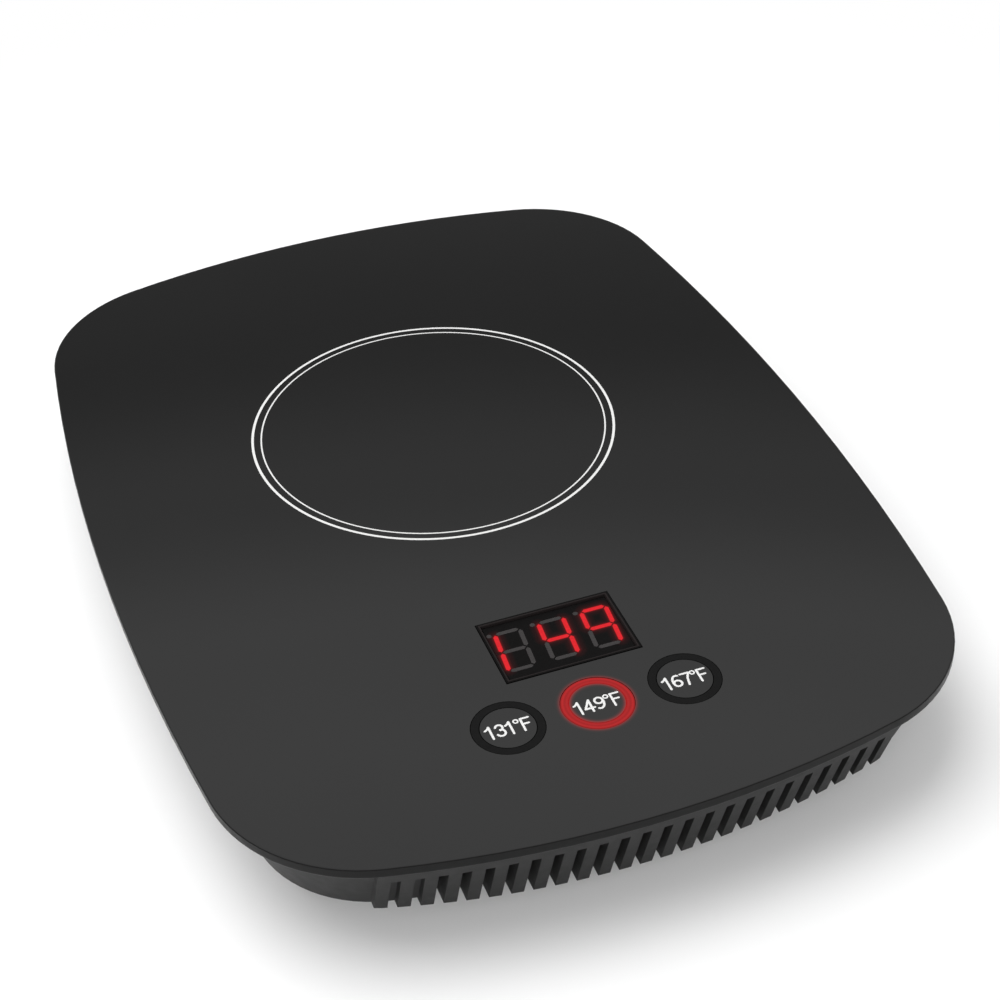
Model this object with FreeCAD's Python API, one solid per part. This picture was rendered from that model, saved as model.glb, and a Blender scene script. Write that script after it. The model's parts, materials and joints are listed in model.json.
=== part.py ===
import FreeCAD, Part
import math
import os

V = FreeCAD.Vector

# Electric mug warmer: a black toughened glass plate with bowed sides on a tapered black case.
# Millimetres. Origin on the table under the middle of the plate, +Z up, keys at the -Y end.

# Glass plate
PLATE_W = 122.0
PLATE_D = 167.0
PLATE_T = 2.0
TOTAL_H = 18.0
SIDE_BOW_R = 464.0
END_BOW_R = 164.0
CORNER_R = 25.0
PLATE_TOP_ROUND = 0.25
PLATE_UNDER_ROUND = 0.7
WINDOW_GAP = 0.1

# Case: a drafted skirt under the plate, with a ledge that the plate is bonded to
DRAFT = math.tan(math.radians(21.0))
SKIRT_TOP_INSET = 1.85
SKIRT_WALL = 2.0
SKIRT_FOOT_Z = 5.0
FRONT_WINDOW_D = 15.0
LEDGE_INSET = 10.0
LEDGE_T = 2.3
LEDGE_ROOT = 1.0
TAPE_T = 0.3
TAPE_OUTER_INSET = 4.3
TAPE_INNER_INSET = 8.5

# Front vents: a comb of fins that hangs from a strip under the plate
FIN_PITCH = 3.2
FIN_SLOT = 1.35
FIN_PROUD = 1.2
FIN_DEPTH = 3.4
FIN_STRIP = 2.5
FIN_TIP_MID_Z = 2.6
FIN_TIP_END_Z = 5.1
BLIND_SLOTS = 3

# Bottom cover, its feet and its screws
COVER_GAP = 0.6
COVER_STEP = 0.9
COVER_TAPER = 1.6
COVER_WALL = 3.0
COVER_FLOOR_T = 1.6
COVER_UNDER_Z = 2.6
COVER_RIM_H = 2.0
FOOT_R = 6.0
FOOT_SEAT_DEPTH = 0.8
FOOT_GAP = 0.1
FOOT_FROM_SIDE = 23.0
FOOT_FROM_END = 33.5
FOOT_ROUND = 0.6
BOSS_R = 3.0
BOSS_FROM_END = 18.5
BOSS_FROM_BOARD = 6.5
BOSS_PAD_R = 4.5
BOSS_PAD_H = 2.0
BOSS_GAP = 0.3
BOSS_GUSSET_R = 7.0
SCREW_R = 1.25
SCREW_HEAD_R = 2.4
SCREW_HEAD_H = 1.3
SCREW_GRIP = 5.5
SCREW_END_GAP = 0.5
HOLE_GAP = 0.05
HEAD_GAP = 0.3
PANEL_W = 52.0
PANEL_D = 30.0
PANEL_DEPTH = 0.3
PANEL_CORNER_R = 3.0

# Screw heads: a pan with a cross recess, as shares of the head's radius and height
PAN_ROUND = 0.55
CROSS_REACH = 0.6
CROSS_HALF_W = 0.16
CROSS_DEPTH = 0.6

# Keys: three flush push keys, each inside a fixed light ring
KEY_NAMES = ("131", "149", "167")
KEY_PITCH = 13.8
KEY_FROM_FRONT = 23.9
KEY_TRAVEL = 0.8
CAP_R = 4.13
CAP_GAP = 0.1
RING_R = 5.42
RING_FLANGE_R = 6.6
RING_FLANGE_T = 0.7
RING_FLANGE_GAP = 0.1
RING_H = 3.4
CAP_FLANGE_R = 5.05
CAP_FLANGE_T = 1.1
STOP_GAP = 0.1
STEM_R = 1.5
DOME_H = 2.0
DOME_BASE_R = 3.0
DOME_TOP_R = 1.7
DOME_WALL = 0.5
DOME_ROOM = 0.4
TOUCH_GAP = 0.05
CARRIER_T = 2.4
CARRIER_BORE_GAP = 0.2
CARRIER_HALF_W = 23.5
CARRIER_HALF_D = 7.2
CARRIER_LEG_X = 21.5
CARRIER_LEG_HALF = 1.8

# Display: three seven-segment digits in a bezel
DISPLAY_FROM_FRONT = 39.6
BEZEL_W = 21.5
BEZEL_D = 13.94
BEZEL_WALL = 0.7
BEZEL_LIP = 0.52
BEZEL_PROUD = 0.1
FACE_DEPTH = 0.3
MODULE_GAP = 0.06
DIGIT_H = 9.2
DIGIT_W = 4.7
DIGIT_PITCH = 7.0
DIGIT_SLANT = math.tan(math.radians(5.0))
SEGMENT_W = 0.7
SEGMENT_BREAK = 0.19
SEGMENT_T = 1.2
DOT_R = 0.4
DOT_OUT = 0.91
SHOWN = "149"

# Boards
BOARD_T = 1.6
BOARD_HALF_W = 24.5
BOARD_FRONT_GAP = 14.5
BOARD_BEHIND_DISPLAY = 10.0
BOARD_DROP = 7.6
POST_R = 2.5
POST_IN_X = 4.0
POST_IN_Y = 2.4
SMALL_SCREW_R = 0.9
SMALL_HEAD_R = 1.7
SMALL_HEAD_H = 1.0
SMALL_GRIP = 3.0
POWER_HALF_W = 22.0
POWER_D = 20.0
POWER_REAR_GAP = 0.4
POWER_T = 1.2
POWER_POST_H = 1.7

# Components on the control board; a chip is its X place, half width, half depth and height
LED_W = 1.0
LED_D = 1.6
LED_H = 0.7
LED_FROM_DOME = 1.1
CHIPS = ((0.0, 4.5, 4.5, 1.4), (-13.0, 2.5, 3.5, 1.5), (13.0, 2.5, 3.5, 1.5))

# Components on the power board, placed from its middle along X and from its front or rear edge
TERMINAL_W = 11.0
TERMINAL_D = 7.0
TERMINAL_H = 7.5
TERMINAL_PITCH = 5.4
PORT_R = 1.5
PORT_DEPTH = 5.0
PORT_UP = 2.6
WELL_R = 1.6
WELL_DEPTH = 3.0
WELL_FROM_REAR = 3.2
FILM_X = -13.5
FILM_W = 10.0
FILM_D = 7.0
FILM_H = 7.5
FILM_FROM_FRONT = 5.5
FILM_ROUND = 0.6
CAN_X = 8.0
CAN_R = 3.5
CAN_L = 11.0
CAN_FROM_FRONT = 9.0
CAN_ROUND = 0.4
SWITCH_X = 2.0
SWITCH_W = 10.0
SWITCH_D = 4.4
SWITCH_H = 6.0
SWITCH_FROM_FRONT = 6.8
SWITCH_TAB_T = 1.3
SWITCH_TAB_UP = 1.6
FUSE_X = -16.8
FUSE_R = 1.7
FUSE_L = 8.5
FUSE_CAP_R = 2.0
FUSE_CAP_L = 1.8
FUSE_FROM_REAR = 3.0
VARISTOR_X = 11.0
VARISTOR_R = 3.2
VARISTOR_T = 3.4
VARISTOR_FROM_REAR = 2.0

# Heating stack under the glass
HEAT_FROM_REAR = 68.65
SPREADER_R = 29.0
SPREADER_T = 2.0
BOND_T = 0.2
HEATER_R = 28.0
HEATER_T = 0.8
PAD_T = 2.0
CLAMP_T = 1.0
CLAMP_R = 26.0
CLAMP_ARM = 7.0
STUD_RING_R = 20.0
STUD_R = 2.6
STUD_COUNT = 4
STUD_GAP = 0.3
TAB_W = 3.0
TAB_L = 2.0
TAB_X = 4.0
TAB_ROOT = 2.0
SENSOR_R = 2.3
SENSOR_H = 2.4
CUTOFF_R = 2.0
CUTOFF_L = 11.0
CUTOFF_X = 12.0
STRAP_T = 0.5
STRAP_L = 6.0
STRAP_EAR = 2.6
STRAP_TAB = 1.5
CLAMP_HUB_R = 9.1

# Cord gland and clamp
GLAND_BORE_R = 2.6
GLAND_WALL = 0.8
GLAND_HOLE_GAP = 0.05
GLAND_FLANGE_LIP = 0.8
GLAND_FLANGE_T = 1.2
GLAND_BACK_LIP = 0.5
GLAND_BACK_T = 1.1
GLAND_PAD_HALF_W = 9.0
GLAND_PAD_T = 5.5
GLAND_PAD_ROUND = 2.5
CLAMP_BAR_HALF_W = 10.0
CLAMP_BAR_D = 4.0
CLAMP_BAR_T = 1.4
CLAMP_REAR_GAP = 0.4
CLAMP_FLOOR_GAP = 0.2
CLAMP_POST_X = 7.0
CLAMP_POST_R = 2.5

# Leads inside the case
HARNESS_R = 1.2
SENSOR_LEAD_R = 0.8
HEATER_LEAD_R = 0.9
SOCKET_W = 8.0
SOCKET_D = 4.0
SOCKET_H = 3.0
HARNESS_X = -12.0
HARNESS_BEND_FROM = 12.0
HARNESS_BEND_TO = 5.0
HEATER_LAND_IN = 4.6
STRAP_GAP = 0.05

# How far a cutting shape runs past the faces that it cuts
CUT = 1.0

PLATE_Z = TOTAL_H - PLATE_T
HALF_W = PLATE_W / 2
HALF_D = PLATE_D / 2
LEDGE_Z = PLATE_Z - LEDGE_T
KEY_Y = KEY_FROM_FRONT - HALF_D
DISPLAY_Y = DISPLAY_FROM_FRONT - HALF_D
HEAT_Y = HALF_D - HEAT_FROM_REAR
RING_FOOT_Z = TOTAL_H - RING_H
CARRIER_TOP = PLATE_Z - RING_FLANGE_GAP - RING_FLANGE_T
CARRIER_Z = CARRIER_TOP - CARRIER_T
BOARD_TOP = TOTAL_H - BOARD_DROP
BOARD_Z = BOARD_TOP - BOARD_T
FLOOR_TOP = COVER_UNDER_Z + COVER_FLOOR_T
POWER_Z = FLOOR_TOP + POWER_POST_H
POWER_TOP = POWER_Z + POWER_T
LEAD_Z = BOARD_Z - SOCKET_H / 2
GLAND_Z = FLOOR_TOP + CLAMP_FLOOR_GAP + SMALL_HEAD_H + CLAMP_BAR_T + GLAND_BORE_R
GLAND_BODY_R = GLAND_BORE_R + GLAND_WALL
GLAND_BACK_R = GLAND_BODY_R + GLAND_BACK_LIP
BOSS_X = BOARD_HALF_W + BOSS_FROM_BOARD
BOSS_Y = HALF_D - BOSS_FROM_END
PAD_TOP = FLOOR_TOP + BOSS_PAD_H


def skirt_inset(z):
    """Inset of the skirt's outer face from the plate's edge at height z."""
    return SKIRT_TOP_INSET + (PLATE_Z - z) * DRAFT


COVER_INSET = skirt_inset(SKIRT_FOOT_Z) + SKIRT_WALL + COVER_GAP


def corner_centre():
    """Centre of the +X +Y corner arc, which is tangent to the side bow and the end bow."""
    side = V(HALF_W - SIDE_BOW_R, 0, 0)
    end = V(0, HALF_D - END_BOW_R, 0)
    side_reach = SIDE_BOW_R - CORNER_R
    end_reach = END_BOW_R - CORNER_R
    span = end - side
    along = (side_reach**2 - end_reach**2 + span.Length**2) / (2 * span.Length)
    across = math.sqrt(side_reach**2 - along**2)
    direction = V(span).normalize()
    foot = side + direction * along
    return foot + V(-direction.y, direction.x, 0) * across


def outline(inset, z):
    """The plate's outline moved in by inset, as a closed wire of eight arcs at height z."""
    side = V(HALF_W - SIDE_BOW_R, 0, 0)
    end = V(0, HALF_D - END_BOW_R, 0)
    corner = corner_centre()
    to_side = (corner - side).normalize()
    to_end = (corner - end).normalize()
    a = corner + to_side * (CORNER_R - inset)
    b = corner + (to_side + to_end).normalize() * (CORNER_R - inset)
    c = corner + to_end * (CORNER_R - inset)
    edges = []
    for sx, sy in ((1, 1), (-1, 1), (-1, -1), (1, -1)):
        flip = [V(p.x * sx, p.y * sy, z) for p in (a, b, c)]
        if sx * sy < 0:
            flip.reverse()
        edges.append(Part.Arc(*flip).toShape())
        middle = V(0, sy * (HALF_D - inset), z) if sx * sy > 0 else V(sx * (HALF_W - inset), 0, z)
        far = V(-flip[2].x, flip[2].y, z) if sx * sy > 0 else V(flip[2].x, -flip[2].y, z)
        edges.append(Part.Arc(flip[2], middle, far).toShape())
    return Part.Wire(Part.__sortEdges__(edges))


def slab(inset, low, high):
    """A straight-sided slab of the plate's outline moved in by inset."""
    return Part.Face(outline(inset, low)).extrude(V(0, 0, high - low))


def taper(low_inset, low, high_inset, high):
    """A slab whose outline changes evenly from one inset to another."""
    return Part.makeLoft([outline(low_inset, low), outline(high_inset, high)], True, True)


def cyl(radius, low, high, x=0.0, y=0.0):
    return Part.makeCylinder(radius, high - low, V(x, y, low))


def cyl_y(radius, near, far, x, z):
    return Part.makeCylinder(radius, far - near, V(x, near, z), V(0, 1, 0))


def block(x0, x1, y0, y1, z0, z1):
    return Part.makeBox(x1 - x0, y1 - y0, z1 - z0, V(x0, y0, z0))


def fuse(first, *others):
    return first.multiFuse(list(others)).removeSplitter()


def group(shapes):
    return Part.makeCompound(shapes)


def edges_at(shape, z):
    """The edges that lie flat at height z."""
    heights = [(e, e.BoundBox.ZMin, e.BoundBox.ZMax) for e in shape.Edges]
    return [e for e, low, high in heights if abs(low - z) < 1e-6 and abs(high - z) < 1e-6]


def upright_edges(shape):
    """The edges that stand as tall as the shape."""
    height = shape.BoundBox.ZLength
    return [e for e in shape.Edges if e.BoundBox.ZLength > height / 2]


def four(x, y):
    """The four places that mirror one place about both middle planes."""
    return [(sx * x, sy * y) for sx in (-1, 1) for sy in (-1, 1)]


def pan_screw(seat, radius, head_r, head_h, reach, up):
    """A screw whose head bears on the point seat; up is 1 where its shank points up, or -1."""
    top_z = seat.z - up * head_h
    head = Part.makeCylinder(head_r, head_h, seat, V(0, 0, -up))
    head = head.makeFillet(head_h * PAN_ROUND, edges_at(head, top_z))
    shank = Part.makeCylinder(radius, reach, seat, V(0, 0, up))
    long = head_r * CROSS_REACH
    wide = head_r * CROSS_HALF_W
    low, high = sorted((top_z - up * head_h, top_z + up * head_h * CROSS_DEPTH))
    arms = ((long, wide), (wide, long))
    cross = [block(seat.x - a, seat.x + a, seat.y - b, seat.y + b, low, high) for a, b in arms]
    return fuse(head, shank).cut(fuse(*cross))


def large_screws(places, seat, reach, up):
    size = (SCREW_R, SCREW_HEAD_R, SCREW_HEAD_H)
    return group([pan_screw(V(x, y, seat), *size, reach, up) for x, y in places])


def small_screws(places, seat, reach, up):
    size = (SMALL_SCREW_R, SMALL_HEAD_R, SMALL_HEAD_H)
    return group([pan_screw(V(x, y, seat), *size, reach, up) for x, y in places])


def key_places():
    return [(name, (i - 1) * KEY_PITCH) for i, name in enumerate(KEY_NAMES)]


def glass_plate():
    plate = slab(0, PLATE_Z, TOTAL_H)
    plate = plate.makeFillet(PLATE_UNDER_ROUND, edges_at(plate, PLATE_Z))
    plate = plate.makeFillet(PLATE_TOP_ROUND, edges_at(plate, TOTAL_H))
    w = BEZEL_W / 2 + WINDOW_GAP
    d = BEZEL_D / 2 + WINDOW_GAP
    cuts = [block(-w, w, DISPLAY_Y - d, DISPLAY_Y + d, PLATE_Z - CUT, TOTAL_H + CUT)]
    for _, x in key_places():
        cuts.append(cyl(RING_R + WINDOW_GAP, PLATE_Z - CUT, TOTAL_H + CUT, x, KEY_Y))
    return plate.cut(group(cuts))


def plate_tape():
    low = PLATE_Z - TAPE_T
    return slab(TAPE_OUTER_INSET, low, PLATE_Z).cut(slab(TAPE_INNER_INSET, low - CUT, PLATE_Z + CUT))


def fin_reach():
    """How many whole pitches fit beside the middle fin along the front bow."""
    corner = corner_centre()
    end = V(0, HALF_D - END_BOW_R, 0)
    return int((end + (corner - end).normalize() * END_BOW_R).x / FIN_PITCH)


def fin_comb():
    """The fins as one slab with a bowed lower edge, slotted upwards from that edge."""
    reach = fin_reach()
    half_row = (reach + 0.5) * FIN_PITCH - FIN_SLOT / 2
    low = FIN_TIP_MID_Z - CUT
    top_inset = SKIRT_TOP_INSET - FIN_PROUD
    low_inset = top_inset + (PLATE_Z - low) * DRAFT
    comb = taper(low_inset, low, top_inset, PLATE_Z)
    comb = comb.cut(taper(low_inset + FIN_DEPTH, low, top_inset + FIN_DEPTH, PLATE_Z))
    front = -HALF_D
    comb = comb.common(block(-half_row, half_row, front, front + HALF_D / 2, low, PLATE_Z))
    rise = FIN_TIP_END_Z - FIN_TIP_MID_Z
    bow_r = (half_row**2 + rise**2) / (2 * rise)
    comb = comb.common(cyl_y(bow_r, front, front + HALF_D / 2, 0, FIN_TIP_MID_Z + bow_r))
    slots = []
    for i in range(-reach, reach):
        x = (i + 0.5) * FIN_PITCH
        top = PLATE_Z - FIN_STRIP
        slots.append(block(x - FIN_SLOT / 2, x + FIN_SLOT / 2, front - CUT, front + HALF_D / 2, low, top))
    return comb.cut(group(slots))


def gland_places():
    """The gland pad's outer face and inner face, measured along Y."""
    outer = HALF_D - SKIRT_TOP_INSET
    return outer, outer - GLAND_PAD_T


def clamp_y():
    return HALF_D - COVER_INSET - COVER_WALL - CLAMP_REAR_GAP - CLAMP_POST_R


def case():
    foot = SKIRT_FOOT_Z
    skirt = taper(skirt_inset(foot), foot, SKIRT_TOP_INSET, PLATE_Z)
    hollow = taper(skirt_inset(foot) + SKIRT_WALL, foot, skirt_inset(LEDGE_Z) + SKIRT_WALL, LEDGE_Z)
    skirt = skirt.cut(hollow)
    skirt = skirt.cut(slab(LEDGE_INSET, LEDGE_Z - CUT, PLATE_Z + CUT))
    open_half = (fin_reach() - BLIND_SLOTS + 0.5) * FIN_PITCH + FIN_SLOT / 2
    window_top = PLATE_Z - FIN_STRIP
    window = block(-open_half, open_half, -HALF_D, FRONT_WINDOW_D - HALF_D, foot - CUT, window_top)
    skirt = skirt.cut(window)
    outer, inner = gland_places()
    half = GLAND_PAD_HALF_W
    pad = block(-half, half, inner, outer, foot, PLATE_Z)
    rear_corners = [e for e in upright_edges(pad) if e.BoundBox.YMin > inner]
    parts = [fin_comb(), pad.makeFillet(GLAND_PAD_ROUND, rear_corners)]
    for x, y in four(BOSS_X, BOSS_Y):
        parts.append(cyl(BOSS_R, PAD_TOP, LEDGE_Z, x, y))
        gusset = cyl(BOSS_GUSSET_R, LEDGE_Z, PLATE_Z - TAPE_T, x, y)
        parts.append(gusset.common(slab(LEDGE_INSET - LEDGE_ROOT, LEDGE_Z, PLATE_Z)))
    bar = CLAMP_BAR_HALF_W
    y = clamp_y()
    rear = HALF_D - LEDGE_INSET + LEDGE_ROOT
    parts.append(block(-bar, bar, y - CLAMP_BAR_D / 2, rear, LEDGE_Z, PLATE_Z - TAPE_T))
    for x in (-CLAMP_POST_X, CLAMP_POST_X):
        parts.append(cyl(CLAMP_POST_R, GLAND_Z - GLAND_BORE_R, LEDGE_Z, x, y))
    body = fuse(skirt, *parts)
    cuts = [plate_tape()]
    for x, y_boss in four(BOSS_X, BOSS_Y):
        cuts.append(cyl(SCREW_R + HOLE_GAP, PAD_TOP - CUT, PAD_TOP + SCREW_GRIP, x, y_boss))
    for x in (-CLAMP_POST_X, CLAMP_POST_X):
        seat = GLAND_Z - GLAND_BORE_R
        cuts.append(cyl(SMALL_SCREW_R + HOLE_GAP, seat - CUT, seat + SMALL_GRIP + HEAD_GAP, x, y))
    cuts.append(cyl_y(GLAND_BODY_R + GLAND_HOLE_GAP, inner - CUT, outer + CUT, 0, GLAND_Z))
    cuts.append(cyl_y(GLAND_BACK_R + GLAND_HOLE_GAP, inner - 2 * GLAND_BACK_T, inner, 0, GLAND_Z))
    return body.cut(group(cuts))


def feet_places():
    return four(HALF_W - FOOT_FROM_SIDE, HALF_D - FOOT_FROM_END)


def board_box():
    """The control board's front and rear edges along Y."""
    return BOARD_FRONT_GAP - HALF_D, DISPLAY_Y + BOARD_BEHIND_DISPLAY


def board_posts():
    front, rear = board_box()
    x = BOARD_HALF_W - POST_IN_X
    return [(sx * x, y) for sx in (-1, 1) for y in (front + POST_IN_Y, rear - POST_IN_Y)]


def power_box():
    rear = clamp_y() - CLAMP_POST_R - POWER_REAR_GAP
    return rear - POWER_D, rear


def power_posts():
    front, rear = power_box()
    x = POWER_HALF_W - POST_IN_Y
    return [(sx * x, y) for sx in (-1, 1) for y in (front + POST_IN_Y, rear - POST_IN_Y)]


def bottom_cover():
    step = COVER_INSET + COVER_STEP
    rim_top = SKIRT_FOOT_Z + COVER_RIM_H
    belly = taper(step + COVER_TAPER, COVER_UNDER_Z, step, SKIRT_FOOT_Z)
    tray = fuse(belly, slab(COVER_INSET, SKIRT_FOOT_Z, rim_top))
    tray = tray.cut(slab(COVER_INSET + COVER_WALL, FLOOR_TOP, rim_top + CUT))
    adds = [cyl(BOSS_PAD_R, FLOOR_TOP, PAD_TOP, x, y) for x, y in four(BOSS_X, BOSS_Y)]
    adds += [cyl(POST_R, FLOOR_TOP, BOARD_Z, x, y) for x, y in board_posts()]
    adds += [cyl(POST_R, FLOOR_TOP, POWER_Z, x, y) for x, y in power_posts()]
    tray = fuse(tray, *adds)
    cuts = []
    for x, y in four(BOSS_X, BOSS_Y):
        cuts.append(cyl(SCREW_HEAD_R + HEAD_GAP, COVER_UNDER_Z - CUT, PAD_TOP - COVER_FLOOR_T, x, y))
        cuts.append(cyl(SCREW_R + HOLE_GAP, COVER_UNDER_Z, PAD_TOP + CUT, x, y))
        cuts.append(cyl(BOSS_R + BOSS_GAP, PAD_TOP, rim_top + CUT, x, y))
    for x, y in feet_places():
        cuts.append(cyl(FOOT_R + FOOT_GAP, COVER_UNDER_Z - CUT, COVER_UNDER_Z + FOOT_SEAT_DEPTH, x, y))
    for x, y in board_posts():
        cuts.append(cyl(SMALL_SCREW_R + HOLE_GAP, BOARD_Z - SMALL_GRIP, BOARD_Z + CUT, x, y))
    for x, y in power_posts():
        cuts.append(cyl(SMALL_SCREW_R + HOLE_GAP, FLOOR_TOP, POWER_Z + CUT, x, y))
    return tray.cut(group(cuts)).cut(under_panel())


def under_panel():
    """The shallow bare field in the middle of the cover's underside."""
    w = PANEL_W / 2
    d = PANEL_D / 2
    field = block(-w, w, -d, d, COVER_UNDER_Z - CUT, COVER_UNDER_Z + PANEL_DEPTH)
    return field.makeFillet(PANEL_CORNER_R, upright_edges(field))


def foot(x, y):
    pad = cyl(FOOT_R, 0, COVER_UNDER_Z + FOOT_SEAT_DEPTH, x, y)
    return pad.makeFillet(FOOT_ROUND, edges_at(pad, 0))


def cover_screws():
    seat = PAD_TOP - COVER_FLOOR_T
    reach = COVER_FLOOR_T + SCREW_GRIP - SCREW_END_GAP
    return large_screws(four(BOSS_X, BOSS_Y), seat, reach, 1)


def cord_gland():
    outer, inner = gland_places()
    body = cyl_y(GLAND_BODY_R, inner - GLAND_BACK_T, outer, 0, GLAND_Z)
    front = cyl_y(GLAND_BODY_R + GLAND_FLANGE_LIP, outer, outer + GLAND_FLANGE_T, 0, GLAND_Z)
    back = cyl_y(GLAND_BACK_R, inner - GLAND_BACK_T, inner, 0, GLAND_Z)
    bush = fuse(body, front, back)
    return bush.cut(cyl_y(GLAND_BORE_R, inner - GLAND_BACK_T - CUT, outer + GLAND_FLANGE_T + CUT, 0, GLAND_Z))


def cord_clamp():
    top = GLAND_Z - GLAND_BORE_R
    half = CLAMP_BAR_HALF_W
    y = clamp_y()
    bar = block(-half, half, y - CLAMP_BAR_D / 2, y + CLAMP_BAR_D / 2, top - CLAMP_BAR_T, top)
    hole_r = SMALL_SCREW_R + HOLE_GAP
    low = top - CLAMP_BAR_T - CUT
    return bar.cut(group([cyl(hole_r, low, top + CUT, x, y) for x in (-CLAMP_POST_X, CLAMP_POST_X)]))


def clamp_bar_screws():
    seat = GLAND_Z - GLAND_BORE_R - CLAMP_BAR_T
    reach = CLAMP_BAR_T + SMALL_GRIP
    return small_screws([(-CLAMP_POST_X, clamp_y()), (CLAMP_POST_X, clamp_y())], seat, reach, 1)


def light_ring(x):
    tube = cyl(RING_R, RING_FOOT_Z, TOTAL_H, x, KEY_Y)
    flange = cyl(RING_FLANGE_R, CARRIER_TOP, CARRIER_TOP + RING_FLANGE_T, x, KEY_Y)
    return fuse(tube, flange).cut(cyl(CAP_R + CAP_GAP, RING_FOOT_Z - CUT, TOTAL_H + CUT, x, KEY_Y))


def key_cap(x):
    shoulder = RING_FOOT_Z - STOP_GAP
    cap = cyl(CAP_R, shoulder, TOTAL_H, x, KEY_Y)
    flange = cyl(CAP_FLANGE_R, shoulder - CAP_FLANGE_T, shoulder, x, KEY_Y)
    stem = cyl(STEM_R, BOARD_TOP + DOME_H + TOUCH_GAP, shoulder, x, KEY_Y)
    return fuse(cap, flange, stem)


def key_dome(x):
    """A silicone dome on the board, hollow underneath, that the stem flattens."""
    outer = Part.makeCone(DOME_BASE_R, DOME_TOP_R, DOME_H, V(x, KEY_Y, BOARD_TOP))
    inner_h = KEY_TRAVEL + DOME_ROOM
    foot = V(x, KEY_Y, BOARD_TOP)
    return outer.cut(Part.makeCone(DOME_BASE_R - DOME_WALL, DOME_TOP_R - DOME_WALL, inner_h, foot))


def key_carrier():
    w = CARRIER_HALF_W
    d = CARRIER_HALF_D
    plate = block(-w, w, KEY_Y - d, KEY_Y + d, CARRIER_Z, CARRIER_TOP)
    legs = []
    holes = []
    for _, x in key_places():
        holes.append(cyl(CAP_FLANGE_R + CARRIER_BORE_GAP, CARRIER_Z - CUT, CARRIER_TOP + CUT, x, KEY_Y))
        holes.append(cyl(RING_R + CARRIER_BORE_GAP, RING_FOOT_Z, CARRIER_TOP + CUT, x, KEY_Y))
    for x in (-CARRIER_LEG_X, CARRIER_LEG_X):
        a = CARRIER_LEG_HALF
        legs.append(block(x - a, x + a, KEY_Y - 2 * a, KEY_Y + 2 * a, BOARD_TOP, CARRIER_Z))
        holes.append(cyl(SMALL_SCREW_R + HOLE_GAP, BOARD_TOP - CUT, BOARD_TOP + SMALL_GRIP, x, KEY_Y))
    return fuse(plate, *legs).cut(group(holes))


def carrier_screws():
    reach = BOARD_T + SMALL_GRIP - SCREW_END_GAP
    return small_screws([(-CARRIER_LEG_X, KEY_Y), (CARRIER_LEG_X, KEY_Y)], BOARD_Z, reach, 1)


def display_bezel():
    w = BEZEL_W / 2
    d = BEZEL_D / 2
    top = TOTAL_H + BEZEL_PROUD
    sleeve = block(-w, w, DISPLAY_Y - d, DISPLAY_Y + d, BOARD_TOP, top)
    wi = w - BEZEL_WALL
    di = d - BEZEL_WALL
    bore = block(-wi, wi, DISPLAY_Y - di, DISPLAY_Y + di, BOARD_TOP - CUT, TOTAL_H + CUT)
    face = TOTAL_H - FACE_DEPTH
    wires = []
    for half_w, half_d, z in ((wi, di, face), (w - BEZEL_LIP, d - BEZEL_LIP, top)):
        turns = ((-1, -1), (1, -1), (1, 1), (-1, 1))
        corners = [V(sx * half_w, DISPLAY_Y + sy * half_d, z) for sx, sy in turns]
        wires.append(Part.makePolygon(corners + corners[:1]))
    return sleeve.cut(bore).cut(Part.makeLoft(wires, True, True))


# Segments lit for each figure: a top, b and c right, d bottom, e and f left, g middle.
LIT = {"1": "fe", "4": "fgbc", "9": "abcfg"}


# Middle of each bar, in half widths and half heights of the digit.
SEGMENT_AT = {
    "a": (0, 1), "b": (1, 0.5), "c": (1, -0.5), "d": (0, -1), "e": (-1, -0.5), "f": (-1, 0.5), "g": (0, 0),
}


def segment(name, digit_x):
    """One bar of a digit, pointed at both ends and leaning with the digit, let into the face."""
    arm_x = (DIGIT_W - SEGMENT_W) / 2
    arm_y = (DIGIT_H - SEGMENT_W) / 2
    flat = name in "adg"
    length = (2 * arm_x if flat else arm_y) - 2 * SEGMENT_BREAK
    x, y = SEGMENT_AT[name]
    x *= arm_x
    y *= arm_y
    half = length / 2
    w = SEGMENT_W / 2
    shape = [(-half, 0), (w - half, w), (half - w, w), (half, 0), (half - w, -w), (w - half, -w)]
    points = []
    for along, across in shape:
        px, py = (x + along, y + across) if flat else (x + across, y + along)
        points.append(V(digit_x + px + py * DIGIT_SLANT, DISPLAY_Y + py, TOTAL_H - FACE_DEPTH - SEGMENT_T))
    return Part.Face(Part.makePolygon(points + points[:1])).extrude(V(0, 0, SEGMENT_T))


def digit_dot(digit_x):
    y = (DIGIT_H - SEGMENT_W) / 2
    x = digit_x - DIGIT_W / 2 - DOT_OUT + SEGMENT_W / 2 + y * DIGIT_SLANT
    face = TOTAL_H - FACE_DEPTH
    return cyl(DOT_R, face - SEGMENT_T, face, x, DISPLAY_Y + y)


def display_segments(lit):
    bars = []
    for i, figure in enumerate(SHOWN):
        digit_x = (i - 1) * DIGIT_PITCH
        bars += [segment(n, digit_x) for n in "abcdefg" if (n in LIT[figure]) == lit]
        if not lit:
            bars.append(digit_dot(digit_x))
    return group(bars)


def display_module():
    w = BEZEL_W / 2 - BEZEL_WALL - MODULE_GAP
    d = BEZEL_D / 2 - BEZEL_WALL - MODULE_GAP
    body = block(-w, w, DISPLAY_Y - d, DISPLAY_Y + d, BOARD_TOP, TOTAL_H - FACE_DEPTH)
    return body.cut(group([display_segments(True), display_segments(False)]))


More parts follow.
